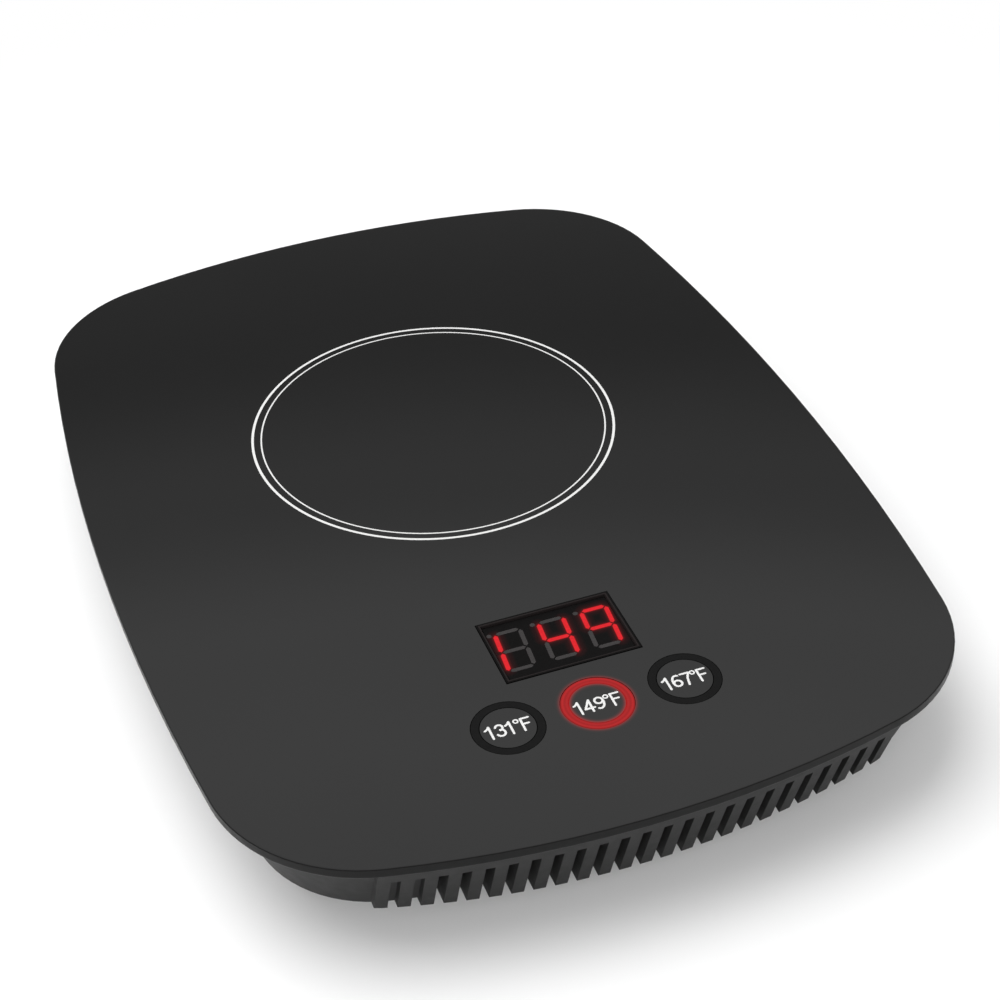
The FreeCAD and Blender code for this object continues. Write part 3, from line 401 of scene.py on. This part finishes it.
def solder_mask():
    """Green lacquer over copper tracks: darker where there is no copper under it."""
    material, tree, place = new_material("solder_mask_green")
    tracks = add(tree, "ShaderNodeTexBrick", {
        "Vector": place, "Color1": srgb("#1d6b38"), "Color2": srgb("#1a6033"), "Mortar": srgb("#0e3d20"),
        "Scale": 1.0, "Mortar Size": 0.25 * MM, "Brick Width": 4.2 * MM, "Row Height": 1.4 * MM,
    })
    surface = add(tree, "ShaderNodeBsdfPrincipled", {
        "Base Color": tracks.outputs["Color"],
        "Roughness": rough_patches(tree, place, grain=3 * MM, low=0.25, high=0.4),
        "IOR": 1.5,
        "Normal": grain_bump(tree, place, grain=0.4 * MM, depth=0.01 * MM),
    })
    add(tree, "ShaderNodeOutputMaterial", {"Surface": surface.outputs["BSDF"]})
    return material


def turned_aluminium():
    """Aluminium faced on a lathe: fine rings round the middle of the heating stack."""
    material, tree, place = new_material("turned_aluminium")
    radius = radius_from(tree, place, HEAT_CENTRE)
    ring = add(tree, "ShaderNodeMath", {0: radius, 1: 2 * math.pi / TURNING_PITCH}, operation="MULTIPLY")
    wave = add(tree, "ShaderNodeMath", {0: ring.outputs["Value"]}, operation="SINE")
    bump = add(tree, "ShaderNodeBump", {
        "Height": wave.outputs["Value"], "Distance": 0.01 * MM, "Strength": 1.0,
    })
    surface = add(tree, "ShaderNodeBsdfPrincipled", {
        "Base Color": mottle(tree, place, srgb("#cfd0d2"), grain=3 * MM, spread=0.06),
        "Metallic": 1.0,
        "Roughness": rough_patches(tree, place, grain=4 * MM, low=0.25, high=0.4),
        "Normal": bump.outputs["Normal"],
    })
    add(tree, "ShaderNodeOutputMaterial", {"Surface": surface.outputs["BSDF"]})
    return material


def plated_steel():
    """Zinc-plated steel: a grey spangle with small dull patches."""
    return finish_of("zinc_plated_steel", "#b9bcc0", grain=0.3 * MM, depth=0.004 * MM, low=0.25, high=0.42,
                     spread=0.1, Metallic=1.0)


def case_nylon():
    """Glass-filled nylon from a spark-eroded mould: charcoal, with an even satin grain."""
    return finish_of("glass_filled_nylon_satin", "#292929", grain=0.22 * MM, depth=0.012 * MM, low=0.48,
                     high=0.56, spread=0.03, **{"IOR": 1.53, "Specular IOR Level": 0.22})


def cover_nylon():
    """The same nylon from a coarser mould, so the underside is a little duller."""
    return finish_of("glass_filled_nylon_coarse", "#232324", grain=0.4 * MM, depth=0.03 * MM, low=0.58,
                     high=0.66, spread=0.05, **{"IOR": 1.53, "Specular IOR Level": 0.3})


def foot_rubber():
    """Silicone rubber: dark grey and dull, with a faint bloom."""
    return finish_of("silicone_rubber_grey", "#38393b", grain=0.35 * MM, depth=0.015 * MM, low=0.7, high=0.85,
                     IOR=1.43)


# The finish of each slot in the record. A plain one gives its name and colour, the size and depth of its
# grain, its lowest and highest roughness, and the spread of its colour where that isn't the usual.
FINISHES = {
    "toughened_glass": toughened_glass(),
    "foam_tape": finish_of("acrylic_foam_tape", "#1c1c1c", 0.3 * MM, 0.02 * MM, 0.8, 0.9),
    "case_plastic": case_nylon(),
    "cover_plastic": cover_nylon(),
    "foot_rubber": foot_rubber(),
    "ring_plastic": smoked_polycarbonate(),
    "dome_silicone": finish_of("silicone_rubber_milky", "#c9cac6", 0.3 * MM, 0.01 * MM, 0.5, 0.6, IOR=1.43),
    "bezel_plastic": display_frame(),
    "display_face": display_face(),
    "segment_lit": lit_bar_resin(),
    "segment_unlit": unlit_bar_resin(),
    "board_laminate": solder_mask(),
    "chip_epoxy": finish_of("moulded_epoxy", "#242425", 0.1 * MM, 0.004 * MM, 0.5, 0.65, IOR=1.55),
    "led_resin": finish_of("clear_chip_resin", "#e6dfa8", 0.2 * MM, 0.002 * MM, 0.15, 0.25, IOR=1.5),
    "nylon_white": finish_of("natural_nylon", "#e2dfd6", 0.3 * MM, 0.006 * MM, 0.4, 0.5, 0.04, IOR=1.53),
    "lead_sheath": finish_of("silicone_sheath_red", "#8e1d18", 0.3 * MM, 0.006 * MM, 0.45, 0.55, IOR=1.43),
    "terminal_green": finish_of("polyamide_green", "#1f7a45", 0.2 * MM, 0.006 * MM, 0.35, 0.45, IOR=1.53),
    "capacitor_yellow": finish_of("polyester_box_yellow", "#d8a520", 0.3 * MM, 0.004 * MM, 0.3, 0.4,
                                  IOR=1.55),
    "capacitor_sleeve": finish_of("shrunk_sleeve_blue", "#18233f", 0.3 * MM, 0.004 * MM, 0.25, 0.35,
                                  IOR=1.53),
    "varistor_blue": finish_of("dipped_epoxy_blue", "#1c4f93", 0.5 * MM, 0.02 * MM, 0.25, 0.4, IOR=1.55),
    "ceramic_white": finish_of("steatite_ceramic", "#e8e5dc", 0.2 * MM, 0.006 * MM, 0.35, 0.5, 0.04, IOR=1.6),
    "thermistor_bead": finish_of("dipped_epoxy_brown", "#6a2a17", 0.3 * MM, 0.01 * MM, 0.3, 0.4, IOR=1.55),
    "spreader_metal": turned_aluminium(),
    "heater_mica": finish_of("mica_laminate", "#a98f63", 0.5 * MM, 0.02 * MM, 0.3, 0.55, 0.25, IOR=1.58),
    "insulation_fibre": finish_of("ceramic_fibre_felt", "#e0ddd2", 0.25 * MM, 0.08 * MM, 0.9, 0.98, 0.06),
    "bond_silicone": finish_of("filled_silicone_grey", "#b4b5b2", 0.3 * MM, 0.01 * MM, 0.55, 0.65, IOR=1.43),
    "clamp_steel": plated_steel(),
    "screw_steel": plated_steel(),
}
FINISHES["key_plastic"] = FINISHES["toughened_glass"]
GROUND_EDGE = ground_glass_edge()
LIT_RING = lit_polycarbonate()
INK = white_enamel()


def deselect():
    """Leaves nothing selected, so the next operator acts on its own piece alone."""
    bpy.ops.object.select_all(action="DESELECT")


def make_active(piece):
    """Makes a piece the only one that operators act on."""
    deselect()
    piece.select_set(True)
    bpy.context.view_layer.objects.active = piece


def give(piece, material):
    """Gives a piece one material all over."""
    piece.data.materials.clear()
    piece.data.materials.append(material)


def paint_nodes():
    """Gives each CAD node the finish of its slot in the record, and the lit key's ring its own."""
    slots = {s["node"]: s["material_slot"] for s in frame["record"]["subparts"]}
    for name, node in frame["nodes"].items():
        give(node, FINISHES[slots[name]])
    give(frame["nodes"]["light_ring_" + LIT_KEY], LIT_RING)


def softened(node, width=0, merge_faces=True):
    """Stands for a CAD node: the same solid with merged faces, smooth curves, and rounds of this width.

    A width of 0 leaves the edges sharp."""
    source = frame["nodes"][node]
    piece = bpy.data.objects.new(node + "_finished", source.data.copy())
    bpy.context.scene.collection.objects.link(piece)
    make_active(piece)
    bpy.ops.object.mode_set(mode="EDIT")
    bpy.ops.mesh.select_all(action="SELECT")
    bpy.ops.mesh.customdata_custom_splitnormals_clear()
    bpy.ops.mesh.remove_doubles(threshold=MERGE_DISTANCE)
    if merge_faces:
        bpy.ops.mesh.dissolve_limited(angle_limit=FLAT_WITHIN)
    bpy.ops.object.mode_set(mode="OBJECT")
    if width:
        bevel = piece.modifiers.new("edge_round", "BEVEL")
        bevel.width = width
        bevel.segments = 2
        bevel.limit_method = "ANGLE"
        bevel.angle_limit = SHARP_FROM
        bevel.use_clamp_overlap = True
        bpy.ops.object.modifier_apply(modifier=bevel.name)
    bpy.ops.object.shade_smooth_by_angle(angle=SHARP_FROM)
    flat = piece.modifiers.new("flat_faces_stay_flat", "WEIGHTED_NORMAL")
    flat.weight = 100
    flat.keep_sharp = True
    bpy.ops.object.modifier_apply(modifier=flat.name)
    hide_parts(node)
    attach(piece, source["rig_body"])
    return piece


def glass_plate():
    """The plate, with its ground edge apart from its polished faces."""
    piece = softened("glass_plate")
    piece.data.materials.append(GROUND_EDGE)
    for face in piece.data.polygons:
        face.material_index = 1 if abs(face.normal.z) < EDGE_FACE_RISE else 0


def display_module():
    """The module cut into a fine grid, where each point holds its distance from the lit bars.

    Its faces aren't merged first, because the cuts would close a many-sided face over a bar."""
    piece = softened("display_module", merge_faces=False)
    low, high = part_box("display_module")
    make_active(piece)
    bpy.ops.object.mode_set(mode="EDIT")
    for axis in (0, 1):
        along = Vector([float(i == axis) for i in range(3)])
        for step in range(1, int((high - low)[axis] / FACE_PITCH)):
            bpy.ops.mesh.select_all(action="SELECT")
            bpy.ops.mesh.bisect(plane_co=low + along * step * FACE_PITCH, plane_no=along)
    bpy.ops.object.mode_set(mode="OBJECT")
    lit = frame["nodes"]["display_segments_lit"].data
    tree = BVHTree.FromPolygons([v.co for v in lit.vertices], [p.vertices for p in lit.polygons])
    # Each point's distance from the lit bars sets the painted red glow on the face.
    distance = piece.data.attributes.new("lit_distance", "FLOAT", "POINT")
    for vertex in piece.data.vertices:
        distance.data[vertex.index].value = tree.find_nearest(vertex.co)[3]


def key_dome(key):
    """The silicone dome under a key, softened and given a mesh of its own."""
    piece = softened("key_dome_" + key)
    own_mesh(piece)


def printed_circle(name, radius, width):
    """A thin ring of ink on the glass, centred over the heater."""
    centre = (HEAT_CENTRE.x, HEAT_CENTRE.y, PLATE_TOP)
    deselect()
    bpy.ops.mesh.primitive_circle_add(vertices=CIRCLE_SIDES, radius=radius + width / 2, location=centre)
    piece = bpy.context.object
    piece.name = name
    inner = (radius - width / 2) / (radius + width / 2)
    bpy.ops.object.mode_set(mode="EDIT")
    bpy.ops.mesh.select_all(action="SELECT")
    bpy.ops.mesh.extrude_region()
    bpy.ops.transform.resize(value=(inner, inner, 1), center_override=centre)
    bpy.ops.mesh.select_all(action="SELECT")
    bpy.ops.mesh.normals_make_consistent(inside=False)
    bpy.ops.mesh.extrude_region()
    bpy.ops.transform.translate(value=(0, 0, INK_T))
    bpy.ops.mesh.select_all(action="SELECT")
    bpy.ops.mesh.normals_make_consistent(inside=False)
    bpy.ops.object.mode_set(mode="OBJECT")
    bpy.ops.object.transform_apply(location=True, rotation=True, scale=True)
    give(piece, INK)
    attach(piece, "housing")


def arc(cx, cy, rx, ry, start, end, steps=ARC_STEPS):
    """Points along part of an ellipse, with the angles in degrees."""
    turns = [math.radians(start + (end - start) * i / steps) for i in range(steps + 1)]
    return [(cx + rx * math.cos(a), cy + ry * math.sin(a)) for a in turns]


# The characters: how far each moves the pen, and the middle lines of its strokes, in cap heights.
# A sharp corner is where one stroke ends and the next begins.
CHARACTERS = {
    "1": (0.52, [[(0.05, 0.71), (0.19, 0.79), (0.28, 0.92)], [(0.29, 0.92), (0.29, 0.0)]]),
    "3": (0.57, [arc(0.27, 0.69, 0.19, 0.21, 160, -80), arc(0.27, 0.29, 0.22, 0.24, 85, -160)]),
    "4": (0.6, [[(0.52, 0.27), (0.02, 0.27)], [(0.02, 0.27), (0.37, 0.9)], [(0.37, 0.9), (0.37, 0.0)]]),
    "6": (0.58, [arc(0.27, 0.3, 0.21, 0.23, 0, 360), arc(0.33, 0.42, 0.28, 0.49, 68, 195)]),
    "7": (0.55, [[(0.03, 0.91), (0.48, 0.91)], [(0.48, 0.91), (0.3, 0.5), (0.21, 0.0)]]),
    "9": (0.58, [arc(0.27, 0.68, 0.21, 0.23, 0, 360), arc(0.21, 0.56, 0.28, 0.49, -112, 15)]),
    "o": (0.27, [arc(0.12, 0.82, 0.12, 0.13, 0, 360, DEGREE_STEPS)]),
    "F": (0.5, [[(0.12, 0.0), (0.12, 0.91)], [(0.12, 0.91), (0.54, 0.91)], [(0.12, 0.49), (0.46, 0.49)]]),
}


def rounded(line, half):
    """The points of a stroke with a weight for each, closing to a round at both ends.

    A stroke that comes back to its start has no ends to round."""
    points = [Vector(p) for p in line]
    if (points[0] - points[-1]).length < half / 4:
        return [(p, 1.0) for p in points]
    turns = [math.radians(a) for a in STROKE_END_DEG]
    lead = (points[0] - points[1]).normalized()
    tail = (points[-1] - points[-2]).normalized()
    head_end = [(points[0] + lead * half * math.cos(a), math.sin(a)) for a in turns]
    tail_end = [(points[-1] + tail * half * math.cos(a), math.sin(a)) for a in reversed(turns)]
    return head_end + [(p, 1.0) for p in points] + tail_end


def stroke_curve(lines):
    """One curve object whose round section draws every line, given as its weight and its points."""
    data = bpy.data.curves.new("strokes", "CURVE")
    data.dimensions = "3D"
    data.bevel_depth = LEGEND_W / 2
    data.bevel_resolution = 2
    data.use_fill_caps = True
    for weight, line in lines:
        stations = rounded(line, weight * LEGEND_W / 2)
        spline = data.splines.new("POLY")
        spline.points.add(len(stations) - 1)
        for point, (place, share) in zip(spline.points, stations):
            point.co = (*place, 0, 1)
            point.radius = weight * share
    piece = bpy.data.objects.new("strokes", data)
    bpy.context.scene.collection.objects.link(piece)
    return piece


def legend(key):
    """The temperature printed on a key cap, centred from side to side, and as thin as the circles' ink."""
    lines = []
    pen = 0.0
    for character in key + "oF":
        advance, strokes = CHARACTERS[character]
        weight = DEGREE_WEIGHT if character == "o" else 1.0
        for stroke in strokes:
            places = [((pen + x) * LEGEND_H * LEGEND_STRETCH, y * LEGEND_H) for x, y in stroke]
            lines.append((weight, places))
        pen += advance
    piece = stroke_curve(lines)
    make_active(piece)
    bpy.ops.object.convert(target="MESH")
    piece = bpy.context.object
    piece.name = "legend_" + key
    xs = [v.co.x for v in piece.data.vertices]
    ys = [v.co.y for v in piece.data.vertices]
    centre = KEY_CENTRE[key]
    flatten = 2 * INK_T / LEGEND_W
    to_key = (centre.x - (min(xs) + max(xs)) / 2, centre.y + LEGEND_BASE - min(ys), PLATE_TOP)
    piece.data.transform(Matrix.Translation(to_key) @ Matrix.Diagonal((1, 1, flatten, 1)))
    give(piece, INK)
    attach(piece, "key_" + key)


def floor():
    """A pale floor that keeps the object's shadow, lightened by a little painted white near the object, and
    turns plain white to the camera further out.
    """
    deselect()
    bpy.ops.mesh.primitive_circle_add(vertices=FLOOR_SIDES, radius=FLOOR_R, fill_type="NGON",
                                      location=(0, 0, 0))
    piece = bpy.context.object
    piece.name = "floor"
    material, tree, place = new_material("floor_paper_white")
    paper = mottle(tree, place, srgb("#f2f2f2"), grain=FLOOR_PATCH, spread=0.01)
    matt = add(tree, "ShaderNodeBsdfDiffuse", {"Color": paper})
    white = add(tree, "ShaderNodeEmission", {"Color": WHITE, "Strength": 1.0})
    seen = add(tree, "ShaderNodeLightPath")
    # Painted light: even next to the object the camera sees a share of plain white, which lifts the floor's
    # shadow.
    away = add(tree, "ShaderNodeMapRange", {
        "Value": radius_from(tree, place, Vector()), "From Min": FADE_FROM, "From Max": FADE_TO,
        "To Min": PAINTED_FLOOR_LIFT, "To Max": 1.0,
    }, interpolation_type="SMOOTHSTEP")
    fade = add(tree, "ShaderNodeMath", {0: away.outputs["Result"], 1: seen.outputs["Is Camera Ray"]},
               operation="MULTIPLY")
    mix = add(tree, "ShaderNodeMixShader", {
        "Fac": fade.outputs["Value"], 1: matt.outputs["BSDF"], 2: white.outputs["Emission"],
    })
    add(tree, "ShaderNodeOutputMaterial", {"Surface": mix.outputs["Shader"]})
    give(piece, material)


def lamps():
    """Soft square lamps aimed at the object, which gloss doesn't see."""
    for name, (place, side, power) in LAMPS.items():
        data = bpy.data.lights.new(name, "AREA")
        data.shape = "SQUARE"
        data.size = side
        data.energy = power
        lamp = bpy.data.objects.new(name, data)
        lamp.location = place
        lamp.rotation_euler = (-Vector(place)).to_track_quat("-Z", "Y").to_euler()
        lamp.visible_glossy = False
        bpy.context.scene.collection.objects.link(lamp)


def backdrop():
    """A world of even light, which gloss sees as a graded backdrop and the camera as white."""
    world = bpy.data.worlds.new("studio")
    bpy.context.scene.world = world
    world.use_nodes = True
    tree = world.node_tree
    tree.nodes.clear()
    direction = add(tree, "ShaderNodeTexCoord").outputs["Generated"]
    height = add(tree, "ShaderNodeSeparateXYZ", {"Vector": direction}).outputs["Z"]
    seen = add(tree, "ShaderNodeLightPath")
    greys = [(at, (grey, grey, grey, 1)) for at, grey in BACKDROP]
    sky = add(tree, "ShaderNodeValToRGB", {"Fac": height}, greys)
    sky.color_ramp.interpolation = "EASE"
    gloss = add(tree, "ShaderNodeMath", {
        0: seen.outputs["Is Glossy Ray"], 1: seen.outputs["Is Transmission Ray"],
    }, operation="MAXIMUM")
    even = add(tree, "ShaderNodeBackground", {"Color": WHITE, "Strength": AMBIENT})
    graded = add(tree, "ShaderNodeBackground", {"Color": sky.outputs["Color"], "Strength": 1.0})
    white = add(tree, "ShaderNodeBackground", {"Color": WHITE, "Strength": 1.0})
    lit = add(tree, "ShaderNodeMixShader", {
        "Fac": gloss.outputs["Value"], 1: even.outputs["Background"], 2: graded.outputs["Background"],
    })
    shown = add(tree, "ShaderNodeMixShader", {
        "Fac": seen.outputs["Is Camera Ray"], 1: lit.outputs["Shader"], 2: white.outputs["Background"],
    })
    add(tree, "ShaderNodeOutputWorld", {"Surface": shown.outputs["Shader"]})


def camera():
    """The photograph's viewpoint."""
    data = bpy.data.cameras.new("camera")
    data.sensor_width = SENSOR_MM
    data.lens = LENS_MM
    data.shift_x, data.shift_y = LENS_SHIFT
    data.clip_start = SEES_FROM
    data.clip_end = SEES_TO
    eye = bpy.data.objects.new("camera", data)
    bpy.context.scene.collection.objects.link(eye)
    turn = Matrix((CAMERA_RIGHT, CAMERA_UP, CAMERA_BACK)).transposed().to_4x4()
    eye.matrix_world = Matrix.Translation(CAMERA_PLACE) @ turn
    bpy.context.scene.camera = eye


def main():
    """Paints the CAD nodes, adds the finished pieces and the printed marks, and sets up the studio."""
    paint_nodes()
    softened("case", SHELL_ROUND)
    softened("bottom_cover", SHELL_ROUND)
    softened("cord_gland", GLAND_ROUND)
    softened("display_bezel", BEZEL_ROUND)
    for key in KEYS:
        softened("key_cap_" + key, CAP_ROUND)
    for key in KEYS:
        softened("light_ring_" + key, RING_ROUND)
    for foot in [n for n in frame["nodes"] if n.startswith("foot_")]:
        softened(foot)
    glass_plate()
    display_module()
    printed_circle("printed_circle_outer", CIRCLE_OUTER_R, CIRCLE_OUTER_W)
    printed_circle("printed_circle_inner", CIRCLE_INNER_R, CIRCLE_INNER_W)
    for key in KEYS:
        key_dome(key)
        legend(key)
    floor()
    lamps()
    backdrop()
    camera()
    bpy.context.scene.view_settings.view_transform = "Standard"


main()
